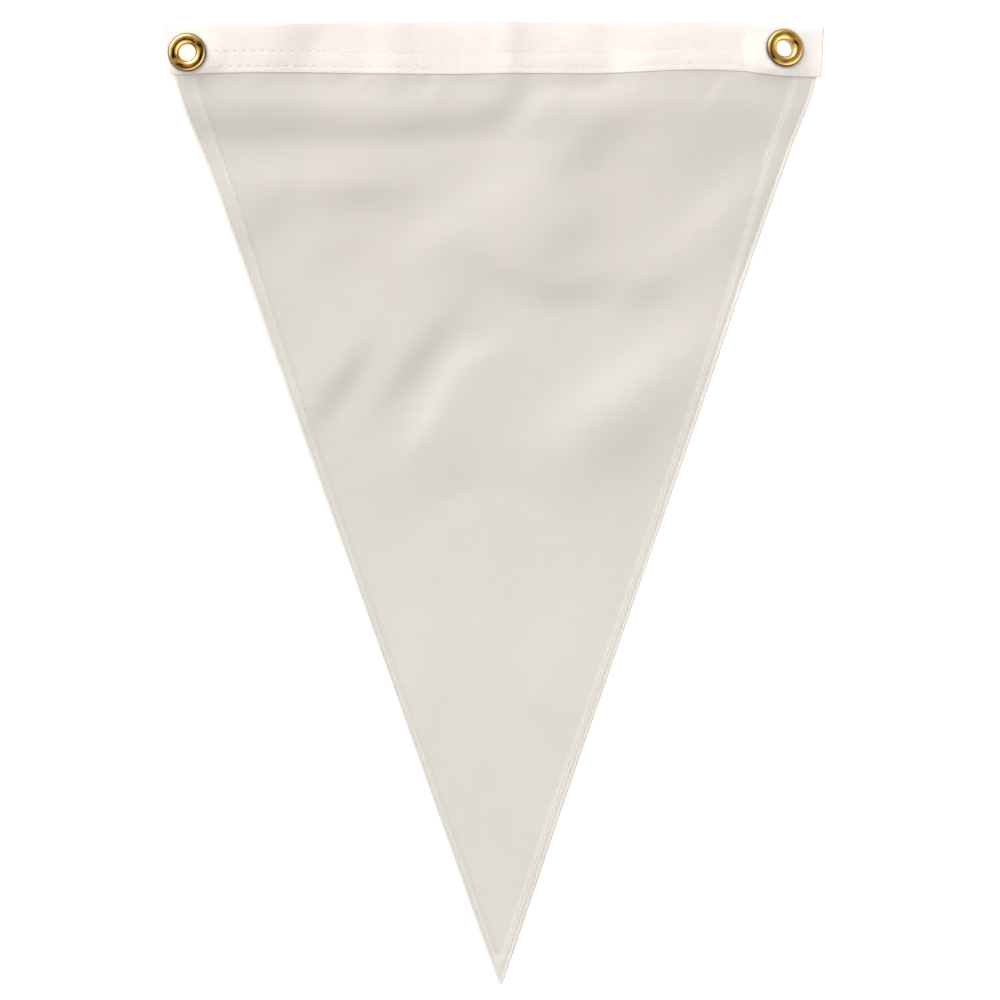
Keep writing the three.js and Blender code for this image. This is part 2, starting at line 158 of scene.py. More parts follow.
# x, y, way that it falls, rise, fall, softness, back, softness at the back, how far down the nylon
SWELLS = (
    (-127, 200, 138, 2.8, 38, 8, 30, 15, 46),
    (118, 204, 28, 7.2, 22, 6.2, 40, 12, 100),
)
# x, width, rise of each upright wave of the stiff heading
WAVES = ((7, 7, 0.9), (-48, 9, 0.7))
WAVE_FADE = 14
# x, y, reach of each place that lies flat on the table
RESTS = ((-76, 213, 19), (46, 212, 20), (0, -20, 32), (3, -185, 36))
FLOAT, LOFT, LOFT_TOP, LOFT_FOOT, LOFT_LENGTH = 0.5, 1.7, 42, -40, 90
PRESS, TOUCH = 2.8, 0.5


def fold_height(fold, x, y):
    fx, fy, angle, long, wide, slope = fold
    a = math.radians(angle)
    s = (x - fx) * math.cos(a) + (y - fy) * math.sin(a)
    t = (y - fy) * math.cos(a) - (x - fx) * math.sin(a)
    w = t / wide
    return (-slope * t / (1 + w * w)) * np.exp(-((s / long) ** 2) - (w / FOLD_REACH) ** 2)


def swell_height(swell, x, y, below):
    sx, sy, angle, rise, fall, soft, back, back_soft, fade = swell
    a = math.radians(angle)
    u = (x - sx) * math.cos(a) + (y - sy) * math.sin(a)
    front = 1 + np.exp((u - fall) / soft)
    rear = 1 + np.exp(-(u + back) / back_soft)
    return rise / (front * rear) * (1 - smooth(below / fade))


def drape(x, y):
    """Height of the cloth's underside before the eyelets flatten their seats."""
    below = foot_of(x) - y
    h = FLOAT + LOFT * smooth(below / LOFT_TOP) * smooth((y - LOFT_FOOT) / LOFT_LENGTH)
    for fold in FOLDS:
        h = h + fold_height(fold, x, y) * smooth(below / FOLD_CLEAR)
    for swell in SWELLS:
        h = h + swell_height(swell, x, y, below)
    for wx, wide, rise in WAVES:
        h = h + rise * bell((x - wx) / wide) * (1 - smooth(below / WAVE_FADE))
    for rx, ry, reach in RESTS:
        h = h - PRESS * np.exp(-(((x - rx) / reach) ** 2) - ((y - ry) / reach) ** 2)
    h = np.maximum(h, 0)
    return h * h / (h + TOUCH)


# %% Seats of the two eyelets
EYELETS = {"left": (-145.0, 212.6), "right": (138.0, 214.6)}
HEADING, SEATED = 3.6, 3.1
SEAT, SEAT_BLEND = 12.5, 21
STEP = 0.5


def seat_at(x, y):
    """The plane that touches the drape at the eyelet's centre."""
    z = float(drape(np.array(x), np.array(y)))
    dx = float(drape(np.array(x + STEP), y) - drape(np.array(x - STEP), y)) / (2 * STEP)
    dy = float(drape(x, np.array(y + STEP)) - drape(x, np.array(y - STEP))) / (2 * STEP)
    return {"x": x, "y": y, "z": z, "dx": dx, "dy": dy}


def from_seat(seat, x, y):
    return np.hypot(x - seat["x"], y - seat["y"])


seats = {name: seat_at(*place) for name, place in EYELETS.items()}


def underside(x, y):
    """Height of the flag's back: the back of the heading, and the plane that the nylon hangs from."""
    h = drape(x, y)
    for seat in seats.values():
        r = from_seat(seat, x, y)
        plane = seat["z"] + seat["dx"] * (x - seat["x"]) + seat["dy"] * (y - seat["y"])
        h = h + (plane - h) * (1 - smooth((r - SEAT) / (SEAT_BLEND - SEAT)))
    return np.maximum(h, 0)


def pressed(x, y):
    """How far the eyelets press the layers together: 1 under the brass, 0 away from it."""
    near = [1 - smooth((from_seat(s, x, y) - 10) / 7) for s in seats.values()]
    return np.maximum(*near)


for name, seat in seats.items():
    print(name, "eyelet sits", round(seat["z"] + SEATED, 2), "mm up")

# %% [markdown]
# ## Making a mesh from rows of points
# Each cloth is a closed skin: an outside, an inside and a rim. Cloth with no thickness would let the
# floor shine at its edges and would look like paper from the side. The meshes are written point by point,
# so that a row of points can lie along each seam, where a plain grid would run across it.

# %% One helper that every piece uses
MM = 0.001
SHARP = math.radians(42)


def make_piece(name, points, faces):
    """A smooth object from points in millimetres."""
    mesh = bpy.data.meshes.new(name)
    mesh.from_pydata((np.asarray(points, float) * MM).tolist(), [], faces)
    mesh.polygons.foreach_set("use_smooth", [True] * len(mesh.polygons))
    mesh.set_sharp_from_angle(angle=SHARP)
    piece = bpy.data.objects.new(name, mesh)
    bpy.context.scene.collection.objects.link(piece)
    print(name, len(mesh.vertices), "points,", len(mesh.polygons), "faces")
    return piece


def ring_faces(first, rings, n):
    """Faces through a run of rings of n points each. The first point has the number first."""
    faces = []
    for k in range(rings - 1):
        for i in range(n):
            a, b = first + k * n + i, first + k * n + (i + 1) % n
            faces.append((a, b, b + n, a + n))
    return faces


def paint(piece, name, value_at):
    """Keeps a number for each point, which the material reads as an attribute."""
    co = np.empty(len(piece.data.vertices) * 3)
    piece.data.vertices.foreach_get("co", co)
    x, y, z = co.reshape(-1, 3).T / MM
    layer = piece.data.attributes.new(name, "FLOAT", "POINT")
    layer.data.foreach_set("value", value_at(x, y, z).astype(np.float32))


# %% [markdown]
# ## The nylon triangle
# The real one is a single piece of thin plain-woven nylon, turned twice at each side and sewn with two
# rows. A flat triangle with a bump map would miss what the light finds first: the rolled outer edge, the
# step at the hem's inner edge, the needle holes and the pulls below the heading. So the hem is a section,
# a height at each distance from the cloth's edge, and the triangle's rows carry points for that section.

# %% The hem's section
NYLON = 0.36
IN_SLOT = 1.34
SQUEEZE = 0.8
SHOULDER_FROM, SHOULDER_LENGTH = 12, 22
HEM_START, HEM_FADE = 0.5, 2.4
OUTER_ROW, INNER_ROW = 2.4, 0.8
FULL_HEM, HEM_KEPT = 5.5, 1.8
# distance from the cloth's edge, thickness there
ROLLED_EDGE = np.array([
    (0, 0.34), (0.06, 0.52), (0.2, 0.61), (0.8, 0.67), (1.4, 0.65), (2.0, 0.60), (2.4, 0.53), (2.8, 0.57),
    (3.3, 0.58),
])
# distance out from the hem's inner edge, thickness there
HEM_STEP = np.array([
    (-0.25, NYLON), (0.2, 0.48), (0.45, 0.54), (0.8, 0.51), (1.15, 0.56), (1.6, 0.58),
])
TIP_THICK, TIP_TURN = 0.70, 1.5


def slot_rise(x, y):
    """How far the pressed layers lift what is caught between them."""
    return 0.7 * SQUEEZE * pressed(x, y)


def nylon_edges(x, y):
    """Distance in from the nearer side of the cloth, and that side's hem."""
    from_left = x - along(SIDES, 1, y)
    from_right = along(SIDES, 2, y) - x
    hem = np.where(from_left < from_right, along(SIDES, 3, y), along(SIDES, 4, y))
    return np.minimum(from_left, from_right), hem


def rim_scale(hem):
    """A narrow hem has a narrower rim."""
    return np.clip((hem - HEM_KEPT) / (FULL_HEM - HEM_KEPT), 0.4, 1)


def nylon_thickness(x, y):
    inset, hem = nylon_edges(x, y)
    rim = rim_scale(hem)
    rolled = np.interp(inset / rim, *ROLLED_EDGE.T)
    step = np.interp(hem - inset, *HEM_STEP.T)
    tip = smooth((TIP_HEM_Y - y) / TIP_TURN)
    inner = step + (TIP_THICK - step) * tip
    thick = np.where(inset < (OUTER_ROW + 0.6) * rim, rolled + 0.08 * tip, inner)
    below = foot_of(x) - y
    return NYLON + (thick - NYLON) * smooth((below - HEM_START) / HEM_FADE)


# %% [markdown]
# ### Pulls and puckers
# Sewing draws the cloth up, so a seam has a row of short waves beside it. They are too small to matter to
# the shape of the flag, but they show as soft streaks where the nylon leaves the heading. The clearest ones
# are set down as small folds. The rest are a few sine waves that never line up.

# %% Small folds beside the seams
# x, y, angle from +X, length, width, slope, as for the broad folds
PULLS = (
    (-60, 197, 43, 6, 3.0, -0.10),
    (-35, 200.5, 4, 8, 2.4, -0.12),
    (-29, 195.5, 62, 6, 3.0, 0.10),
    (-14, 200.5, 2, 7, 2.4, -0.12),
    (1, 199.5, 20, 4, 2.2, -0.12),
    (58, 201, 2, 10, 2.4, -0.08),
    (80, 201.5, 2, 10, 2.4, -0.09),
    (104, 193, 56, 10, 3.6, 0.09),
    (-118, 198, 62, 7, 3.5, 0.05),
    (128, 196, -58, 7, 3.5, -0.05),
)


def ripple(at):
    return (np.sin(at * 0.71) + 0.7 * np.sin(at * 1.13 + 1.3) + 0.5 * np.sin(at * 0.37 + 4.0)) / 2.2


def nylon_under(x, y):
    """Height of the nylon's underside: in the heading's slot, then down a shoulder to the drape."""
    below = foot_of(x) - y
    caught = IN_SLOT + slot_rise(x, y)
    h = underside(x, y) + caught * (1 - smooth((below - SHOULDER_FROM) / SHOULDER_LENGTH))
    free = smooth(below / 2.5)
    for pull in PULLS:
        h = h + fold_height(pull, x, y) * free
    h = h + 0.10 * ripple(x * 0.9) * np.exp(-below / 5) * free
    h = h + 0.22 * ripple(x * 0.31 + 2) * np.exp(-below / 3.5) * free
    inset, hem = nylon_edges(x, y)
    h = h + 0.06 * ripple(y) * bell((inset - hem) / 4) * smooth(below / 8)
    return np.maximum(h, 0)


# %% Rows of points across the nylon
ACROSS = 1.7
DOWN = 1.545
FOOT_MIDDLE = 202.8
LEVELLED = 24
TONGUE_SHARES = (0.13, 0.35, 0.6, 0.8, 0.93)
ROOM = 1.1


def hem_places(hem):
    """Distances in from the cloth's edge where a row has points."""
    outer = ROLLED_EDGE[:, 0] * rim_scale(hem)
    inner = hem - HEM_STEP[::-1, 0]
    gap = inner[0] - outer[-1]
    return np.concatenate([outer, outer[-1] + gap * np.array([0.33, 0.67]), inner])


def row_level(x, d):
    """y of the row that starts d below the heading's foot, which levels out further down."""
    return FOOT_MIDDLE - d + (foot_of(x) - FOOT_MIDDLE) * (1 - smooth(d / LEVELLED))


def nylon_row(d):
    """Points of one row from left to right, and which of them are needle holes."""
    ends = np.array([-150.0, 150.0])
    for _ in range(4):
        y = row_level(ends, d)
        ends = np.array([along(SIDES, 1, y[0]), along(SIDES, 2, y[1])])
    left_hem, right_hem = along(SIDES, 3, y[0]), along(SIDES, 4, y[1])
    width = ends[1] - ends[0]
    if y.mean() > TIP_HEM_Y:
        left = ends[0] + hem_places(left_hem)
        right = (ends[1] - hem_places(right_hem))[::-1]
        rows = [len(ROLLED_EDGE) - 3, len(left) - 3]
    else:
        scale = min(0.85, width / 7)
        left = ends[0] + ROLLED_EDGE[:, 0] * scale
        right = (ends[1] - ROLLED_EDGE[:, 0] * scale)[::-1]
        rows = [len(ROLLED_EDGE) - 3]
    first = math.ceil((left[-1] + ROOM) / ACROSS)
    last = math.floor((right[0] - ROOM) / ACROSS)
    x = np.concatenate([left, np.arange(first, last + 1) * ACROSS, right])
    holes = [*rows, *[len(x) - 1 - i for i in rows]]
    return x, row_level(x, d), holes


def tongue_row(share):
    """Points of a row of the part that is caught in the heading."""
    x = np.concatenate([[-150.2], np.arange(-149.6, 149.7, 3.4), [150.0]])
    depth = HEADING / 2 + (top_of(x) - foot_of(x) - HEADING / 2) * share
    return x, top_of(x) - depth, []


last_row = int((FOOT_MIDDLE - TIP_Y) / DOWN)
levels = [(k * DOWN, k > 1 and k % 2 == 0) for k in range(last_row)]
levels += [(FOOT_MIDDLE - TIP_HEM_Y, False), (FOOT_MIDDLE - TIP_HEM_Y + TIP_TURN, False)]
levels += [(FOOT_MIDDLE - TIP_Y, False)]
levels.sort()
rows = [tongue_row(share) for share in TONGUE_SHARES]
sewn_rows = []
for d, sewn in levels:
    rows.append(nylon_row(d))
    if sewn:
        sewn_rows.append(len(rows) - 1)
print(len(rows), "rows,", sum(len(row[0]) for row in rows), "points on each face")

# %% Zip the rows together
HOLE = 0.16
# the back rises at the rolled edge and at the sewn lines
BACK_LIFT, ROUNDED, SEWN_WIDTH = 0.14, 0.4, 0.35


def zip_rows(upper, lower, first_upper, first_lower):
    """Triangles between two rows, taking the shorter diagonal each time."""
    faces = []
    i = j = 0
    (ux, uy), (lx, ly) = upper, lower
    while i < len(ux) - 1 or j < len(lx) - 1:
        if j == len(lx) - 1:
            take_upper = True
        elif i == len(ux) - 1:
            take_upper = False
        else:
            rising = (ux[i + 1] - lx[j]) ** 2 + (uy[i + 1] - ly[j]) ** 2
            falling = (ux[i] - lx[j + 1]) ** 2 + (uy[i] - ly[j + 1]) ** 2
            take_upper = rising < falling
        if take_upper:
            faces.append((first_upper + i, first_lower + j, first_upper + i + 1))
            i += 1
        else:
            faces.append((first_upper + i, first_lower + j, first_lower + j + 1))
            j += 1
    return faces


def starts_of(rows):
    """Number of the first point of each row, and of one past the last."""
    return np.concatenate([[0], np.cumsum([len(row[0]) for row in rows])])


def closed_sheet(rows, under, over):
    """Points and faces of a closed sheet: an underside, a face above it and the rim between them."""
    starts = starts_of(rows)
    n = int(starts[-1])
    face = []
    for r in range(len(rows) - 1):
        upper = [side.tolist() for side in rows[r][:2]]
        lower = [side.tolist() for side in rows[r + 1][:2]]
        face += zip_rows(upper, lower, int(starts[r]), int(starts[r + 1]))
    left = starts[:-1].tolist()
    right = (starts[1:] - 1).tolist()
    rim = left + list(range(left[-1] + 1, right[-1] + 1)) + right[-2::-1]
    rim += list(range(right[0] - 1, left[0], -1))
    x = np.concatenate([row[0] for row in rows])
    y = np.concatenate([row[1] for row in rows])
    points = np.concatenate([np.stack([x, y, under], 1), np.stack([x, y, over], 1)])
    faces = [(c, b, a) for a, b, c in face] + [(a + n, b + n, c + n) for a, b, c in face]
    for a, b in zip(rim, rim[1:] + rim[:1]):
        faces.append((a, b, b + n, a + n))
    return points, faces


row_starts = starts_of(rows)
grid_x = np.concatenate([row[0] for row in rows])
grid_y = np.concatenate([row[1] for row in rows])
needle = np.zeros(len(grid_x))
for r in sewn_rows:
    needle[[row_starts[r] + i for i in rows[r][2]]] = 1

inset, hem = nylon_edges(grid_x, grid_y)
sewn_line = bell((inset - OUTER_ROW * rim_scale(hem)) / SEWN_WIDTH)
sewn_line += bell((hem - inset - INNER_ROW) / SEWN_WIDTH)
sewn_line *= smooth((foot_of(grid_x) - grid_y - HEM_START) / HEM_FADE)
lifted = BACK_LIFT * np.clip(1 - inset / ROUNDED, 0, 1) + BACK_LIFT * np.clip(sewn_line, 0, 1)
under = nylon_under(grid_x, grid_y) + lifted
over = nylon_under(grid_x, grid_y) + nylon_thickness(grid_x, grid_y) - HOLE * needle
nylon = make_piece("nylon_triangle", *closed_sheet(rows, under, over))

# %% [markdown]
# ## The duck heading
# The real heading is a strip of cotton duck with its raw edges turned in, folded over the nylon and sewn
# through. A box would do for a toy, but the light shows that it is a folded strip: it has a round
# top edge, a front that sinks at the two sewn rows, and a foot that is pressed down on the nylon.
# Its section is a hairpin, and that section is carried along the strip with more stations at the stitches.

# %% The heading's section
ROW_LOW, ROW_HIGH = 2.85, 9.85
STITCH_ROWS = ((ROW_LOW, 0), (ROW_HIGH, 0.5))
SEWN_FROM, SEWN_TO = -135.2, 127.8
PITCH = 4.45
SLOT_LOW, SLOT_HIGH = 1.24, 1.76
FOLD_ROUND = 1.65
# height above the foot, thickness of the heading there
THICKNESS = np.array([
    (-1, 1.98), (0, 1.98), (1.2, 2.08), (2.85, 2.19), (6.3, 2.42), (9.85, 2.60), (14, 2.82), (18, 3.05),
    (24, 3.1), (30, 3.1),
])
# heights above the foot where the section has points, up to where the fold begins
UP = np.array([
    0.5, 1.2, 1.9, 2.35, 2.6, 2.85, 3.1, 3.35, 4.0, 5.2, 6.6, 7.9, 8.8, 9.35, 9.6, 9.85, 10.1, 10.35,
    11.1, 12.5, 14.2, 16.1, 18.0, 20.0, 22.0,
])
# heights above this one stretch with the depth of the heading
SEWN_UP = 10.35
TURNS = 9
# x, width, rise of fainter waves that only the eye needs
FAINT_WAVES = ((-103, 8, 0.3), (40, 9, 0.35), (76, 8, 0.25), (-16, 6, -0.2))


def sewn_rows_at(x, up, wide):
    """1 on the two sewn rows and 0 away from them. The rows run from eyelet to eyelet."""
    between = smooth((x - SEWN_FROM) / 3) * smooth((SEWN_TO - x) / 3)
    return between * (bell((up - ROW_LOW) / wide) + bell((up - ROW_HIGH) / wide))


def front_height(x, y, up, from_end):
    """Height of the heading's front above its back, with the pull of the sewn rows and the eyelets."""
    thick = along(THICKNESS, 1, up) - 0.045 * sewn_rows_at(x, up, 0.6)
    for wx, wide, rise in FAINT_WAVES:
        thick = thick + rise * bell((x - wx) / wide) * smooth(up / 8)
    thick = thick + 0.05 * ripple(x * 1.3) * bell((up - 6.3) / 6)
    thick = thick + 0.6 * (1 - smooth(from_end / 9)) - 0.07 * bell((from_end - 2) / 0.35)
    for seat in seats.values():
        r = from_seat(seat, x, y)
        turn = np.arctan2(y - seat["y"], x - seat["x"])
        gather = 0.07 * np.cos(9 * turn + 0.8) * bell((r - 11.5) / 2.5)
        seated = SEATED + 0.18 * bell((r - 10) / 1.4) + gather - 0.55 * (1 - smooth(up / 3.2))
        thick = thick + (seated - thick) * (1 - smooth((r - 10.5) / 9))
    return thick


def back_height(x, y, up):
    """Height of the heading's own back above the drape, which sinks in at the sewn rows and the brass."""
    rows = sewn_rows_at(x, up, 0.45)
    return 0.26 * rows + (SQUEEZE - 0.26 * rows) * pressed(x, y)


def tension(x):
    """The thread is not drawn equally tight all along, so some stitches sink in less."""
    return np.clip(0.2 + 0.5 * smooth((-60 - x) / 45) + 0.22 * ripple(x * 0.13), 0.04, 1)


def sewn_pits(x, up):
    """How deep the needle holes pull the cloth in."""
    pits = 0
    for row, shift in STITCH_ROWS:
        k = x / PITCH - shift
        off = (k - np.round(k)) * PITCH
        pits = pits + np.exp(-((off / 0.5) ** 2) - ((up - row) / 0.32) ** 2)
    return pits * tension(x) * (x > SEWN_FROM) * (x < SEWN_TO)


# %% Stations along the strip, and the closed skin through them
PIT = 0.34


def station_places():
    """Stations along the strip: close together at the needle holes, and at its two ends."""
    half = np.array([0, 0.36, 1.1, 1.86])
    k = np.arange(-36, 36)
    inner = (k[:, None] * PITCH + np.concatenate([half, half + PITCH / 2])).ravel()
    inner = inner[np.abs(inner) < HEADING_END - 3.4]
    ends = HEADING_END - np.array([0, 0.08, 0.25, 0.6, 1.1, 1.6, 1.85, 2.0, 2.15, 2.4, 2.9])
    return np.sort(np.concatenate([-ends, inner, ends]))


def heading_loops():
    """For each station, the outer line from the back foot over the fold to the front foot, then the inner."""
    loops = []
    for x0 in station_places():
        full = float(top_of(x0) - foot_of(x0))
        from_end = HEADING_END - abs(x0)
        reach = full - FOLD_ROUND
        stretch = (reach - SEWN_UP) / (UP[-1] - SEWN_UP)
        up = np.where(UP > SEWN_UP, SEWN_UP + (UP - SEWN_UP) * stretch, UP)
        foot = np.array([0.0, 0.1, 0.28])
        turn = np.linspace(0, math.pi, TURNS)[1:-1]
        ups = np.concatenate([foot, up, reach + FOLD_ROUND * np.sin(turn), up[::-1], foot[::-1]])
        n, m = len(foot) + len(up), len(turn)
        depth = full - ups
        slant = (LEFT_SLANT if x0 < 0 else -RIGHT_SLANT) * (1 - smooth(from_end / 12)) * depth / full
        x, y = x0 + slant, foot_of(x0) + ups
        front = front_height(x, y, ups, from_end) - PIT * sewn_pits(x, ups)
        back = back_height(x, y, ups) + 0.5 * PIT * sewn_pits(x, ups)
        slot = slot_rise(x, y)
        slot_low, slot_high = SLOT_LOW + slot, SLOT_HIGH + slot
        ease = math.sqrt(1 - (1 - min(from_end / 0.6, 1)) ** 2)
        front = slot_high + (front - slot_high) * (0.45 + 0.55 * ease)
        back = slot_low + (back - slot_low) * (0.45 + 0.55 * ease)
        middle, radius = (front[n] + back[n]) / 2, (front[n] - back[n]) / 2
        rounding = np.array([0.35, 0.72, 0.93])
        outer = np.concatenate([back[:n], middle - radius * np.cos(turn), front[n + m:]])
        outer[:3] = slot_low[:3] + (back[:3] - slot_low[:3]) * rounding
        outer[-3:] = slot_high[-3:] + (front[-3:] - slot_high[-3:]) * rounding[::-1]
        inner_up = np.concatenate([ups[:n] * 0.97, reach - 1 + 0.24 * np.sin(turn), ups[n + m:] * 0.97])
        inner_up[:n] = np.minimum(inner_up[:n], reach - 1)
        inner_up[n + m:] = np.minimum(inner_up[n + m:], reach - 1)
        inner_up[:n] += 0.02 * np.arange(n) / n
        inner_up[n + m:] += 0.02 * np.arange(n, 0, -1) / n
        inner_y = foot_of(x0) + inner_up
        inner = np.concatenate([
            np.full(n, SLOT_LOW), (SLOT_LOW + SLOT_HIGH) / 2 - 0.26 * np.cos(turn), np.full(n, SLOT_HIGH),
        ]) + slot_rise(x, inner_y)
        base = underside(x, y)
        inner_base = underside(x, inner_y)
        loops.append(np.concatenate([
            np.stack([x, y, base + outer], 1),
            np.stack([x, inner_y, inner_base + inner], 1)[::-1],
        ]))
    return np.array(loops)


def loft(loops):
    """Faces through a run of hairpin loops, closed at both ends by strips between outer and inner line."""
    count, n = loops.shape[:2]
    half = n // 2
    faces = ring_faces(0, count, n)
    last = (count - 1) * n
    for i in range(half - 1):
        a, b, c, d = i, i + 1, n - 2 - i, n - 1 - i
        faces.append((d, c, b, a))
        faces.append((last + a, last + b, last + c, last + d))
    return loops.reshape(-1, 3), faces


heading = make_piece("duck_heading", *loft(heading_loops()))

# %% [markdown]
# ## Holes for the eyelets
# A punch goes through the heading and the nylon that is folded in it before each eyelet is set. A Boolean
# modifier does the same here. It is applied at once, so that the pieces leave the script as plain meshes.

# %% Punch the layers
PUNCH, PUNCH_LENGTH, PUNCH_SIDES = 4.7, 24, 48


def eyelet_frame(seat):
    """Origin and axes of an eyelet that stands square to the cloth at its seat."""
    normal = Vector((-seat["dx"], -seat["dy"], 1)).normalized()
    turn = Vector((0, 0, 1)).rotation_difference(normal).to_matrix()
    return np.array([seat["x"], seat["y"], seat["z"] + SEATED]), np.array(turn), normal


def punch_at(seat):
    origin, turn, _ = eyelet_frame(seat)
    n, half = PUNCH_SIDES, PUNCH_LENGTH / 2
    around = np.linspace(0, 2 * math.pi, n + 1)[:-1]
    ring = np.stack([PUNCH * np.cos(around), PUNCH * np.sin(around)], 1)
    points = np.concatenate([np.column_stack([ring, np.full(n, z)]) for z in (-half, half)])
    faces = ring_faces(0, 2, n) + [tuple(range(n - 1, -1, -1)), tuple(range(n, 2 * n))]
    return make_piece("punch", points @ turn.T + origin, faces)


def cut(piece, tool):
    bore = piece.modifiers.new("bore", "BOOLEAN")
    bore.operation = "DIFFERENCE"
    bore.solver = "MANIFOLD"
    bore.object = tool
    shown = bpy.context.evaluated_depsgraph_get()
    mesh = bpy.data.meshes.new_from_object(piece.evaluated_get(shown))
    piece.modifiers.clear()
    piece.data = mesh


for seat in seats.values():
    punch = punch_at(seat)
    for cloth in (heading, nylon):
        before = len(cloth.data.polygons)
        cut(cloth, punch)
        print(cloth.name, before, "faces, then", len(cloth.data.polygons))
    bpy.data.objects.remove(punch)

# %% [markdown]
# ## Brass eyelets and their washers
# An eyelet is pressed from sheet brass: a domed flange on the face, and a barrel that goes through the cloth
# and is rolled out over a washer at the back. All of that is round, so half a section turned about the axis
# makes it. More steps are taken than in the part, because polished metal shows every flat.

# %% Turn the half sections
EYELET = {"throat": 3.95, "metal": 0.5, "flange": 9.2, "crest_outer": 7.2, "crest_inner": 6.4}
CREST, RIM, ROLL, ROLL_END, ROLL_SEAT = 2.1, 0.4, 0.9, 1.72 * math.pi, 0.75
BARREL = EYELET["throat"] + EYELET["metal"]
AROUND = 112


def arc(x, y, rx, ry, start, end, steps):
    t = np.linspace(start, end, steps)
    return np.stack([x + rx * np.cos(t), y + ry * np.sin(t)], 1)


def eyelet_section(grip):
    e = EYELET
    metal, right = e["metal"], math.pi / 2
    top, roll_x = -grip - ROLL_SEAT, e["throat"] + ROLL
    outer = e["flange"] - e["crest_outer"]
    return np.concatenate([
        arc(e["crest_outer"], RIM, outer, CREST - RIM, 0, right, 12),
        arc(e["crest_inner"], 0, e["crest_inner"] - e["throat"], CREST, right, math.pi, 14),
        arc(roll_x, top, ROLL, ROLL, math.pi, ROLL_END, 12),
        arc(roll_x, top, ROLL - metal, ROLL - metal, ROLL_END, math.pi, 8),
        arc(e["crest_inner"], 0, e["crest_inner"] - BARREL, CREST - metal, math.pi, right, 10),
        arc(e["crest_outer"], RIM, outer - metal, CREST - RIM - metal, right, 0, 8),
    ])


def washer_section(grip):
    face = -grip - 0.35
    return np.array([
        (4.8, face), (4.8, face - 0.4), (6.2, face - 0.4), (6.4, face - 0.42), (6.9, face - 0.7),
        (7.3, face - 0.8), (7.7, face - 0.76), (8.3, face - 0.6), (8.6, face - 0.38), (8.7, face - 0.2),
        (8.7, face - 0.05), (8.65, face),
    ])


def turned(name, section, seat):
    """A closed ring from a closed half section, set on its seat."""
    origin, turn, _ = eyelet_frame(seat)
    t = np.linspace(0, 2 * math.pi, AROUND + 1)[:-1]
    n = len(section)
    ring = np.stack([np.outer(np.cos(t), section[:, 0]), np.outer(np.sin(t), section[:, 0])], 2)
    height = np.broadcast_to(section[:, 1], (AROUND, n))[..., None]
    points = np.concatenate([ring, height], 2).reshape(-1, 3) @ turn.T + origin
    faces = []
    for k in range(AROUND):
        for i in range(n):
            a, b = k * n + i, k * n + (i + 1) % n
            c, d = ((k + 1) % AROUND) * n + (i + 1) % n, ((k + 1) % AROUND) * n + i
            faces.append((a, d, c, b))
    return make_piece(name, points, faces)


eyelets, washers = {}, {}
for name, seat in seats.items():
    grip = (SEATED - SQUEEZE) * eyelet_frame(seat)[2].z
    eyelets[name] = turned("brass_eyelet_" + name, eyelet_section(grip), seat)
    washers[name] = turned("brass_washer_" + name, washer_section(grip), seat)
brass = [*eyelets.values(), *washers.values()]

# %% [markdown]
# ## Sewing thread
# A lockstitch shows a short length of thread between two needle holes, and dips into each hole. It could be
# a dashed line in the material, but from the side it would lie flat. So each stitch is a thin tube with
# its ends bent down, laid on the cloth from hole to hole, on the face and again on the back.

# %% Tubes along many short lines at once
SIDES_OF_THREAD = 8


def thread_tubes(name, lines, radius):
    """lines is (stitches, points, 3); radius is one number for each point of a stitch."""
    lines = np.asarray(lines)
    count, steps = lines.shape[:2]
    tangent = np.gradient(lines, axis=1)
    tangent /= np.linalg.norm(tangent, axis=2, keepdims=True)
    across = np.cross(tangent, (0, 0, 1))
    across /= np.linalg.norm(across, axis=2, keepdims=True)
    above = np.cross(across, tangent)
    t = np.linspace(0, 2 * math.pi, SIDES_OF_THREAD + 1)[:-1]
    ring = across[:, :, None] * np.cos(t)[:, None] + above[:, :, None] * np.sin(t)[:, None]
    points = lines[:, :, None] + ring * np.asarray(radius)[None, :, None, None]
    n = SIDES_OF_THREAD
    faces = []
    for s in range(count):
        base = s * steps * n
        faces += ring_faces(base, steps, n)
        faces.append(tuple(base + i for i in range(n - 1, -1, -1)))
        faces.append(tuple(base + (steps - 1) * n + i for i in range(n)))
    piece = make_piece(name, points.reshape(-1, 3), faces)
    # painted shade at both ends of each stitch, where the thread dips into a needle hole
    sunk_shade = np.outer(tension(lines[:, steps // 2, 0]), smooth((np.abs(2 * ALONG - 1) - 0.55) / 0.4))
    layer = piece.data.attributes.new("sunk_shade", "FLOAT", "POINT")
    layer.data.foreach_set("value", np.repeat(sunk_shade.ravel(), n).astype(np.float32))
    return piece


# %% The two rows through the heading
ALONG = np.array([0.0, 0.1, 0.22, 0.5, 0.78, 0.9, 1.0])
LIFT = np.array([-0.5, -0.31, -0.15, -0.07, -0.15, -0.31, -0.5])
THREAD = np.array([0.13, 0.18, 0.22, 0.23, 0.22, 0.18, 0.13])


def heading_stitches():
    lines = []
    for row, shift in STITCH_ROWS:
        for k in range(-35, 35):
            x = (k + shift + ALONG) * PITCH
            if x[0] < SEWN_FROM or x[-1] > SEWN_TO:
                continue
            y = foot_of(x) + row
            base = underside(x, y)
            end = HEADING_END - np.abs(x)
            up = np.full(len(x), row)
            face = base + front_height(x, y, up, end) + LIFT
            back = base + back_height(x, y, up) - LIFT * 0.8
            lines += [np.stack([x, y, z], 1) for z in (face, back)]
    return lines


heading_thread = thread_tubes("heading_stitches", heading_stitches(), THREAD)


# %% The two rows through each hem
# the hem's thread is finer than the heading's, and lies closer
HEM_THREAD, HEM_THREAD_LIFT = 0.72, 0.75


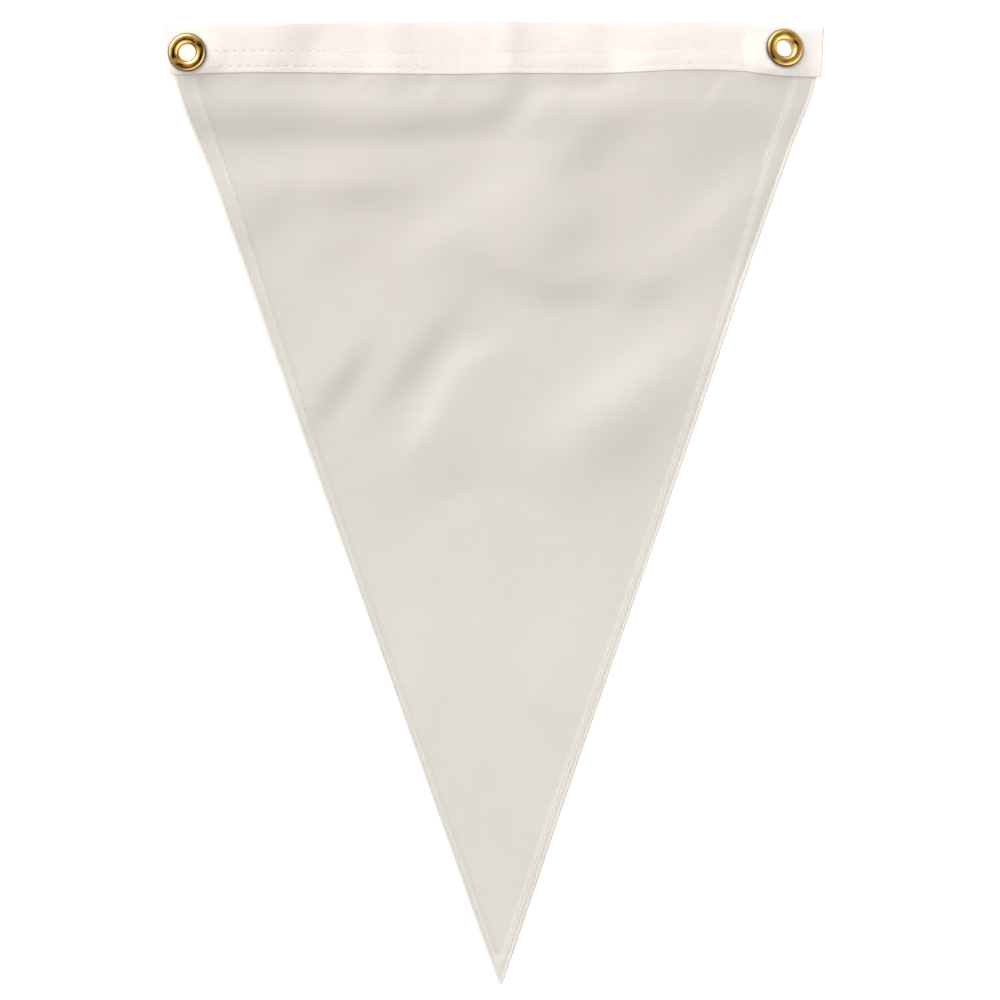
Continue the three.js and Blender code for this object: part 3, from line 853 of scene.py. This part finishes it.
def hem_stitches():
    lines = []
    for r, after in zip(sewn_rows, sewn_rows[1:]):
        if after - r != 2 or len(rows[r][2]) != len(rows[after][2]):
            continue
        for i, j in zip(rows[r][2], rows[after][2]):
            a = row_starts[r] + i
            b = row_starts[after] + j
            x = grid_x[a] + (grid_x[b] - grid_x[a]) * ALONG
            y = grid_y[a] + (grid_y[b] - grid_y[a]) * ALONG
            base = nylon_under(x, y)
            face = base + nylon_thickness(x, y) + LIFT * HEM_THREAD_LIFT
            back = base + BACK_LIFT - LIFT * HEM_THREAD_LIFT
            lines += [np.stack([x, y, z], 1) for z in (face, back)]
    return lines


hem_thread = thread_tubes("hem_stitches", hem_stitches(), THREAD * HEM_THREAD)

# %% [markdown]
# ## Numbers that the finishes read
# Where the nylon is folded it is three or more layers thick, and lets less light through, so it looks
# paler than the single cloth. The nylon's upper half is painted greyer, as painted shade. The heading is
# darker along its folded top edge, has painted shade at its ends and in the needle holes, and painted
# light round the brass. The brass has painted shade at the flange's rim and in its barrel. Each is a
# number at each point, simpler than a mask in the material.

# %% Layers, edges and the marks round the eyelets
def folded_share(x, y, z):
    inset, hem = nylon_edges(x, y)
    tip = smooth((TIP_HEM_Y - y) / TIP_TURN)
    band = smooth((inset - hem) / -0.3 + 0.5) * (0.25 + 0.6 * smooth((2.6 - hem + inset) / 0.8))
    return np.clip(band + 0.8 * tip, 0, 1)


def rolled_share(x, y, z):
    inset, hem = nylon_edges(x, y)
    pressed_flat = 0.35 + 0.65 * smooth((y + 150) / 250)
    return pressed_flat * (1 - smooth((inset / rim_scale(hem) - 0.9) / 1.5))


# the duck is darker along its folded top edge, and has painted shade at the heading's two ends
def dark_edge_and_end_shade_share(x, y, z):
    from_top = top_of(x) - y
    from_end = HEADING_END - np.abs(x)
    return np.clip(np.exp(-from_top / 0.8) + 0.6 * np.exp(-from_end / 1.3), 0, 1)


def upper_shade_share(x, y, z):
    """Painted shade: the nylon is painted greyer in its upper half than in its lower half."""
    return smooth((y + 60) / 200)


# painted shade: the duck is painted darker in its needle holes
def needle_hole_shade_share(x, y, z):
    return np.clip(sewn_pits(x, y - foot_of(x)), 0, 1)


def crevice_shade_share(x, y, z):
    """Painted shade on the brass: the flange's rim against the cloth, and the inside of the barrel."""
    share = 0
    for seat in seats.values():
        origin, turn, _ = eyelet_frame(seat)
        local = (np.stack([x, y, z], 1) - origin) @ turn
        r = np.hypot(local[:, 0], local[:, 1])
        barrel = 0.5 * (1 - smooth((r - 4.1) / 0.5))
        share = share + (smooth((r - 8.3) / 0.35) + barrel) * (r < 12)
    return np.clip(share, 0, 1)


# painted light: the duck is painted paler round each eyelet, where the brass casts its shadow
def light_by_brass_share(x, y, z):
    near = [np.exp(-np.maximum(from_seat(s, x, y) - 9, 0) / 5) for s in seats.values()]
    return np.clip(sum(near), 0, 1)


paint(nylon, "folded", folded_share)
paint(nylon, "rolled", rolled_share)
paint(heading, "edge", dark_edge_and_end_shade_share)
# painted shade: the upper half of the nylon is painted greyer
paint(nylon, "painted_light_tone", upper_shade_share)
paint(heading, "light_by_brass", light_by_brass_share)
paint(heading, "needle", needle_hole_shade_share)
for ring in brass:
    paint(ring, "crevice_shade", crevice_shade_share)

# %% [markdown]
# ## Weave, as a node group
# Nylon and duck are both plain weave, at different sizes, so one group serves both. Two crossed sines
# give the crowns where one thread passes over the other. Two long thin noises, one each way, stand for
# threads that are spun thicker or thinner, which is what makes real cloth look streaky and not printed.

# %% Small helpers for node trees
def new_group(name, inputs, outputs):
    group = bpy.data.node_groups.new(name, "ShaderNodeTree")
    for label, kind, value in inputs:
        socket = group.interface.new_socket(label, in_out="INPUT", socket_type=kind)
        if value is not None:
            socket.default_value = value
    for label, kind in outputs:
        group.interface.new_socket(label, in_out="OUTPUT", socket_type=kind)
    return group, group.nodes.new("NodeGroupInput"), group.nodes.new("NodeGroupOutput")


def math_node(tree, operation, *values):
    """A Math node. A value may be a number or another node's output."""
    node = tree.nodes.new("ShaderNodeMath")
    node.operation = operation
    for socket, value in zip(node.inputs, values):
        if isinstance(value, bpy.types.NodeSocket):
            tree.links.new(value, socket)
        else:
            socket.default_value = value
    return node.outputs[0]


def noise_node(tree, place, scale, detail=2.0, roughness=0.5):
    node = tree.nodes.new("ShaderNodeTexNoise")
    node.inputs["Scale"].default_value = scale
    node.inputs["Detail"].default_value = detail
    node.inputs["Roughness"].default_value = roughness
    tree.links.new(place, node.inputs["Vector"])
    return node.outputs["Fac"]


def stretched(tree, place, by):
    node = tree.nodes.new("ShaderNodeVectorMath")
    node.operation = "MULTIPLY"
    tree.links.new(place, node.inputs[0])
    node.inputs[1].default_value = by
    return node.outputs[0]


def scaled_by(tree, place, size):
    node = tree.nodes.new("ShaderNodeVectorMath")
    node.operation = "SCALE"
    tree.links.new(place, node.inputs[0])
    tree.links.new(size, node.inputs["Scale"])
    return node.outputs[0]


def ramp(tree, value, low, high, out_low=0.0, out_high=1.0):
    node = tree.nodes.new("ShaderNodeMapRange")
    node.interpolation_type = "SMOOTHSTEP"
    for label, number in (("From Min", low), ("From Max", high), ("To Min", out_low), ("To Max", out_high)):
        node.inputs[label].default_value = number
    tree.links.new(value, node.inputs["Value"])
    return node.outputs["Result"]


def mix_colour(tree, mask, first, second):
    node = tree.nodes.new("ShaderNodeMix")
    node.data_type = "RGBA"
    sockets = [s for s in node.inputs if s.type == "RGBA"]
    tree.links.new(mask, node.inputs[0])
    for socket, value in zip(sockets, (first, second)):
        if isinstance(value, bpy.types.NodeSocket):
            tree.links.new(value, socket)
        else:
            socket.default_value = (*value, 1)
    return next(s for s in node.outputs if s.type == "RGBA")


# %% The weave group
weave, given, result = new_group(
    "plain weave",
    [
        ("Place", "NodeSocketVector", None),
        ("Threads", "NodeSocketFloat", 3000.0),
        ("Slub", "NodeSocketFloat", 0.5),
    ],
    [("Height", "NodeSocketFloat"), ("Tone", "NodeSocketFloat")],
)
apart = weave.nodes.new("ShaderNodeSeparateXYZ")
weave.links.new(scaled_by(weave, given.outputs["Place"], given.outputs["Threads"]), apart.inputs[0])
wave_x = math_node(weave, "SINE", math_node(weave, "MULTIPLY", apart.outputs["X"], math.pi))
wave_y = math_node(weave, "SINE", math_node(weave, "MULTIPLY", apart.outputs["Y"], math.pi))
crossed = math_node(weave, "MULTIPLY", wave_x, wave_y)
crown = math_node(weave, "SQRT", math_node(weave, "ABSOLUTE", crossed))
over_under = math_node(weave, "MULTIPLY_ADD", crossed, 0.18, 0.2)
height = math_node(weave, "MULTIPLY_ADD", crown, 0.6, over_under)
weft = noise_node(weave, stretched(weave, given.outputs["Place"], (45, 1500, 45)), 1.0, 1.0)
warp = noise_node(weave, stretched(weave, given.outputs["Place"], (1500, 45, 45)), 1.0, 1.0)
streaks = math_node(weave, "SUBTRACT", math_node(weave, "ADD", weft, warp), 1.0)
slubs = math_node(weave, "MULTIPLY", streaks, given.outputs["Slub"])
weave.links.new(math_node(weave, "ADD", height, slubs), result.inputs["Height"])
weave.links.new(math_node(weave, "ADD", slubs, 0.5), result.inputs["Tone"])
print("group:", weave.name, [s.name for s in weave.interface.items_tree])

# %% [markdown]
# ## Handling marks, as a node group
# Nothing that has been folded, packed and laid out is even all over. A broad, soft noise stands for
# handling, and a finer one breaks its edge up. Cloth uses it for a faint change of colour. The brass uses
# it for fingermarks that dull the polish, and for patches of a deeper orange, a painted reflection of
# light that bounces twice in the brass; so it is a group with its own size and amount.

# %% The handling group
handling, given, result = new_group(
    "handling marks",
    [
        ("Place", "NodeSocketVector", None),
        ("Size", "NodeSocketFloat", 30.0),
        ("Amount", "NodeSocketFloat", 1.0),
    ],
    [("Mask", "NodeSocketFloat")],
)
sized = scaled_by(handling, given.outputs["Place"], given.outputs["Size"])
broad = noise_node(handling, sized, 1.0, 3.0, 0.55)
fine = noise_node(handling, sized, 6.0, 2.0)
marks = math_node(handling, "MULTIPLY_ADD", fine, 0.3, math_node(handling, "MULTIPLY", broad, 0.85))
mask = math_node(handling, "MULTIPLY", ramp(handling, marks, 0.42, 0.78), given.outputs["Amount"])
handling.links.new(mask, result.inputs["Mask"])

# %% [markdown]
# ## Materials
# Every finish is one Principled BSDF. What changes over the surface reaches it through nodes: the
# colour, the roughness and a bump from the weave. What is the same all over is set on the shader itself.

# %% Start of a material
def start_material(name, **constants):
    material = bpy.data.materials.new(name)
    material.use_nodes = True
    tree = material.node_tree
    shader = tree.nodes["Principled BSDF"]
    for label, value in constants.items():
        shader.inputs[label.replace("_", " ")].default_value = value
    place = tree.nodes.new("ShaderNodeTexCoord").outputs["Object"]
    return material, tree, shader, place


def use_group(tree, group, place, **values):
    node = tree.nodes.new("ShaderNodeGroup")
    node.node_tree = group
    tree.links.new(place, node.inputs["Place"])
    for label, value in values.items():
        node.inputs[label].default_value = value
    return node.outputs


def into(tree, shader, **values):
    """Links what changes over the surface to the shader's sockets."""
    for label, value in values.items():
        tree.links.new(value, shader.inputs[label.replace("_", " ")])


def bump_to(tree, shader, height, distance, strength):
    node = tree.nodes.new("ShaderNodeBump")
    node.inputs["Distance"].default_value = distance
    node.inputs["Strength"].default_value = strength
    tree.links.new(height, node.inputs["Height"])
    tree.links.new(node.outputs["Normal"], shader.inputs["Normal"])


def attribute(tree, name):
    node = tree.nodes.new("ShaderNodeAttribute")
    node.attribute_name = name
    return node.outputs["Fac"]


# %% Nylon, canvas duck and thread
NYLON_SINGLE = (0.672, 0.654, 0.610)
# painted shade: a greyer nylon for the upper half, so the cloth grows lighter towards the tip
NYLON_UPPER_SHADE = (0.634, 0.608, 0.568)
NYLON_FOLDED = (0.715, 0.69, 0.645)
NYLON_EDGE = (0.90, 0.88, 0.84)
NYLON_SOILED = (0.62, 0.585, 0.53)
NYLON_THREAD = (0.80, 0.77, 0.72)

nylon_finish, tree, shader, place = start_material(
    "woven nylon", Sheen_Weight=0.12, Sheen_Roughness=0.4, Specular_IOR_Level=0.35
)
cloth = use_group(tree, weave, place, Threads=4200.0, Slub=0.45)
soil = use_group(tree, handling, place, Size=22.0, Amount=0.3)["Mask"]
single = mix_colour(tree, attribute(tree, "painted_light_tone"), NYLON_SINGLE, NYLON_UPPER_SHADE)
body = mix_colour(tree, attribute(tree, "folded"), single, NYLON_FOLDED)
body = mix_colour(tree, attribute(tree, "rolled"), body, NYLON_EDGE)
body = mix_colour(tree, soil, body, NYLON_SOILED)
toned = mix_colour(tree, ramp(tree, cloth["Tone"], 0.3, 0.7, 0.0, 0.10), body, NYLON_THREAD)
into(tree, shader, Base_Color=toned, Roughness=ramp(tree, cloth["Height"], 0.1, 0.9, 0.66, 0.52))
bump_to(tree, shader, cloth["Height"], 0.00006, 0.5)

DUCK = (0.93, 0.88, 0.845)
# a darker duck for random thread tone and soil, and for the painted shade at the heading's ends
DUCK_DARK_TONE_AND_SHADE = (0.84, 0.785, 0.735)
# painted light round the eyelets, in place of the shadow that the brass casts on the duck
DUCK_PAINTED_LIGHT = (0.98, 0.945, 0.92)
# darker folded top edge, and painted shade at the heading's ends
DUCK_DARK_EDGE_AND_END_SHADE = (0.66, 0.61, 0.57)
# painted shade in the needle holes, on the duck and on the thread's ends
NEEDLE_HOLE_SHADE = (0.44, 0.38, 0.34)

duck_finish, tree, shader, place = start_material("cotton duck", Sheen_Weight=0.08, Specular_IOR_Level=0.25)
cloth = use_group(tree, weave, place, Threads=2100.0, Slub=0.8)
soil = use_group(tree, handling, place, Size=35.0, Amount=0.28)["Mask"]
# marks: soil from the noise, the darker top edge, and painted shade at the heading's ends
marks = math_node(tree, "MULTIPLY_ADD", attribute(tree, "edge"), 0.6, soil)
toned = mix_colour(tree, ramp(tree, cloth["Tone"], 0.25, 0.75, 0.0, 0.16), DUCK, DUCK_DARK_TONE_AND_SHADE)
worn_and_painted_light = mix_colour(tree, marks, toned, DUCK_DARK_TONE_AND_SHADE)
# painted light round the brass, darker top edge with painted shade at the ends, painted shade in needle holes
for mask, share, colour in (
    ("light_by_brass", 0.8, DUCK_PAINTED_LIGHT),
    ("edge", 0.7, DUCK_DARK_EDGE_AND_END_SHADE),
    ("needle", 0.4, NEEDLE_HOLE_SHADE),
):
    worn_and_painted_light = mix_colour(tree, math_node(tree, "MULTIPLY", attribute(tree, mask), share), worn_and_painted_light, colour)
into(tree, shader, Base_Color=worn_and_painted_light, Roughness=ramp(tree, cloth["Height"], 0.0, 1.0, 0.92, 0.8))
bump_to(tree, shader, cloth["Height"], 0.00014, 0.6)


def thread_material(name, low, high, sunk_shade_share):
    """Twisted thread, with painted shade where it dips into the needle holes."""
    material, tree, shader, place = start_material(name, Sheen_Weight=0.1, Specular_IOR_Level=0.4)
    ply = tree.nodes.new("ShaderNodeTexWave")
    ply.bands_direction = "DIAGONAL"
    ply.inputs["Scale"].default_value = 0.6
    tree.links.new(stretched(tree, place, (5200, 5200, 5200)), ply.inputs["Vector"])
    twist = mix_colour(tree, ply.outputs["Fac"], low, high)
    sunk_shade = math_node(tree, "MULTIPLY", attribute(tree, "sunk_shade"), sunk_shade_share)
    into(
        tree, shader, Base_Color=mix_colour(tree, sunk_shade, twist, NEEDLE_HOLE_SHADE),
        Roughness=ramp(tree, ply.outputs["Fac"], 0.0, 1.0, 0.7, 0.5),
    )
    bump_to(tree, shader, ply.outputs["Fac"], 0.00005, 0.5)
    return material


heading_thread_finish = thread_material("cotton thread", (0.87, 0.82, 0.78), (0.93, 0.88, 0.84), 0.6)
hem_thread_finish = thread_material("nylon thread", (0.66, 0.635, 0.59), (0.74, 0.715, 0.67), 0.5)

# %% Brass
BRASS = (0.86, 0.60, 0.20)
# painted reflection: a deeper orange, for light reflected twice in the brass
BRASS_DEEP_REFLECTION = (0.60, 0.36, 0.10)
# painted shade, dark and matt, for the flange's rim against the cloth and the inside of the barrel
BRASS_RIM_SHADE = (0.07, 0.042, 0.015)

brass_finish, tree, shader, place = start_material("polished brass")
# fingermarks that roughen the polish, and the same patches painted the deeper reflected orange
prints_and_reflection_patches = use_group(tree, handling, place, Size=260.0, Amount=0.55)["Mask"]
dents = noise_node(tree, place, 240.0, 0.0)
painted_light_tone = mix_colour(tree, prints_and_reflection_patches, BRASS, BRASS_DEEP_REFLECTION)
# painted shade: the rim and the barrel lose their metal and turn dark
rim_shade = math_node(tree, "MULTIPLY", attribute(tree, "crevice_shade"), 0.95)
into(
    tree, shader, Base_Color=mix_colour(tree, rim_shade, painted_light_tone, BRASS_RIM_SHADE),
    Metallic=ramp(tree, rim_shade, 0.1, 0.8, 1.0, 0.0),
    Roughness=ramp(tree, math_node(tree, "ADD", prints_and_reflection_patches, rim_shade), 0.0, 0.8, 0.07, 0.3),
)
bump_to(tree, shader, dents, 0.00022, 1.0)

for piece, finish in (
    (nylon, nylon_finish),
    (heading, duck_finish),
    (heading_thread, heading_thread_finish),
    (hem_thread, hem_thread_finish),
    *((ring, brass_finish) for ring in brass),
):
    piece.data.materials.clear()
    piece.data.materials.append(finish)
print("materials:", sorted(m.name for m in bpy.data.materials if m.users))

# %% [markdown]
# ## Each piece joins the frame
# The flag has no moving part, so every piece rides on its one body. A piece stands for the node that it
# replaces, and that node is hidden. The size that the two cloths were cut to is worked out as well: each
# hem is turned twice, so it takes twice its own width of cloth.

# %% Ride and replace
for piece, node, slot in (
    (nylon, "fly", "nylon"),
    (hem_thread, "fly", "nylon"),
    (heading, "heading", "canvas"),
    (heading_thread, "heading", "canvas"),
    *((eyelets[side], "eyelet_" + side, "brass") for side in seats),
    *((washers[side], "washer_" + side, "brass") for side in seats),
):
    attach(piece, "root")
    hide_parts(node)

levels_cut = np.arange(TIP_Y, FOOT_MIDDLE, 1.0)
widths = along(SIDES, 2, levels_cut) - along(SIDES, 1, levels_cut)
turned_in = 2 * (along(SIDES, 3, levels_cut) + along(SIDES, 4, levels_cut))

# %% [markdown]
# ## Floor, light and camera
# The flag lies on a plain white table, seen from straight above, with a large soft light at the upper left.
# A low light finds folds that a light from the camera would flatten. The sky is darker overhead, where a
# camera would stand, and that is what gives polished brass its dark ring.

# %% The floor
FLOOR_Z, FLOOR_REACH = -0.0003, 3
corners = [(x * FLOOR_REACH, y * FLOOR_REACH, FLOOR_Z) for x, y in ((-1, -1), (1, -1), (1, 1), (-1, 1))]
floor_mesh = bpy.data.meshes.new("floor")
floor_mesh.from_pydata(corners, [], [(0, 1, 2, 3)])
floor = bpy.data.objects.new("floor", floor_mesh)
bpy.context.scene.collection.objects.link(floor)
floor_finish, tree, shader, place = start_material("white table", Roughness=0.8, Emission_Strength=0.7)
shader.inputs["Emission Color"].default_value = (1, 1, 1, 1)
grain = noise_node(tree, place, 900.0)
into(tree, shader, Base_Color=mix_colour(tree, grain, (0.93, 0.93, 0.93), (0.95, 0.95, 0.95)))
floor.data.materials.append(floor_finish)

# %% The lamp
def area_light(name, azimuth, elevation, distance, wide, high, power, colour):
    """An oblong light that faces the flag. Azimuth is from +X towards +Y."""
    a, e = math.radians(azimuth), math.radians(elevation)
    away = Vector((math.cos(a) * math.cos(e), math.sin(a) * math.cos(e), math.sin(e)))
    lamp = bpy.data.lights.new(name, "AREA")
    lamp.shape = "RECTANGLE"
    lamp.size, lamp.size_y = wide, high
    lamp.energy = power
    lamp.color = colour
    holder = bpy.data.objects.new(name, lamp)
    holder.location = away * distance
    holder.rotation_mode = "QUATERNION"
    holder.rotation_quaternion = away.to_track_quat("Z", "Y")
    holder.visible_camera = False
    bpy.context.scene.collection.objects.link(holder)
    print(name, "light:", power, "W,", distance, "m away")


area_light(
    "key", azimuth=125, elevation=25, distance=20.0, wide=22.5, high=12.5, power=3600.0,
    colour=(1.0, 0.998, 0.992),
)

# %% The sky, and what polished brass sees of it
sky = bpy.data.worlds.new("studio")
bpy.context.scene.world = sky
sky.use_nodes = True
tree = sky.node_tree
background = tree.nodes["Background"]
direction = tree.nodes.new("ShaderNodeTexCoord").outputs["Generated"]
split = tree.nodes.new("ShaderNodeSeparateXYZ")
tree.links.new(direction, split.inputs[0])


def leaning(x_share, y_share):
    """How far a ray leans one way over the ground."""
    part = math_node(tree, "MULTIPLY", split.outputs["X"], x_share)
    return math_node(tree, "MULTIPLY_ADD", split.outputs["Y"], y_share, part)


overhead = ramp(tree, split.outputs["Z"], 0.64, 0.86, 1.0, 0.04)
lit_side = leaning(-0.4, 0.57)
walls = math_node(tree, "MAXIMUM", math_node(tree, "MULTIPLY_ADD", lit_side, 1.1, 1.4), 0.1)
soft = math_node(tree, "MULTIPLY", overhead, walls)
# mirror rays: two bright panels face each other, and a dark gap runs between them over the flag
facing = leaning(-0.64, 0.77)
gap = leaning(0.77, 0.64)
panels, ends = [
    math_node(tree, "POWER", math_node(tree, "DIVIDE", way, reach), 2.0)
    for way, reach in ((facing, 0.14), (gap, 0.56))
]
shape = ramp(tree, math_node(tree, "ADD", panels, ends), 0.7, 1.5, 0.02, 1.0)
horizon = ramp(tree, split.outputs["Z"], -0.05, 0.45, 0.25, 1.0)
bright = math_node(tree, "MULTIPLY_ADD", math_node(tree, "POWER", facing, 2.0), 2.8, 0.4)
mirrored = math_node(tree, "MULTIPLY", math_node(tree, "MULTIPLY", shape, horizon), bright)
rays = tree.nodes.new("ShaderNodeLightPath").outputs
either = tree.nodes.new("ShaderNodeMix")
tree.links.new(rays["Is Glossy Ray"], either.inputs[0])
tree.links.new(soft, either.inputs[2])
tree.links.new(mirrored, either.inputs[3])
strength = math_node(tree, "MAXIMUM", either.outputs[0], rays["Is Camera Ray"])
tree.links.new(strength, background.inputs["Strength"])
tinted = mix_colour(tree, ramp(tree, bright, 0.4, 1.1), (1.0, 0.76, 0.50), (1.0, 0.99, 0.97))
tint = mix_colour(tree, rays["Is Glossy Ray"], (1.0, 0.978, 0.957), tinted)
tree.links.new(tint, background.inputs["Color"])

# %% The camera
FRAME_WIDTH = 0.474
LENS, SENSOR = 250.0, 36.0
camera_data = bpy.data.cameras.new("camera")
camera_data.lens = LENS
camera_data.sensor_width = SENSOR
camera = bpy.data.objects.new("camera", camera_data)
camera.location = (0.0032, 0.0006, FRAME_WIDTH * LENS / SENSOR + 0.003)
bpy.context.scene.collection.objects.link(camera)
bpy.context.scene.camera = camera
bpy.context.scene.view_settings.view_transform = "Standard"
bpy.context.scene.view_settings.look = "None"
print("camera", round(camera.location.z, 3), "m above the table")
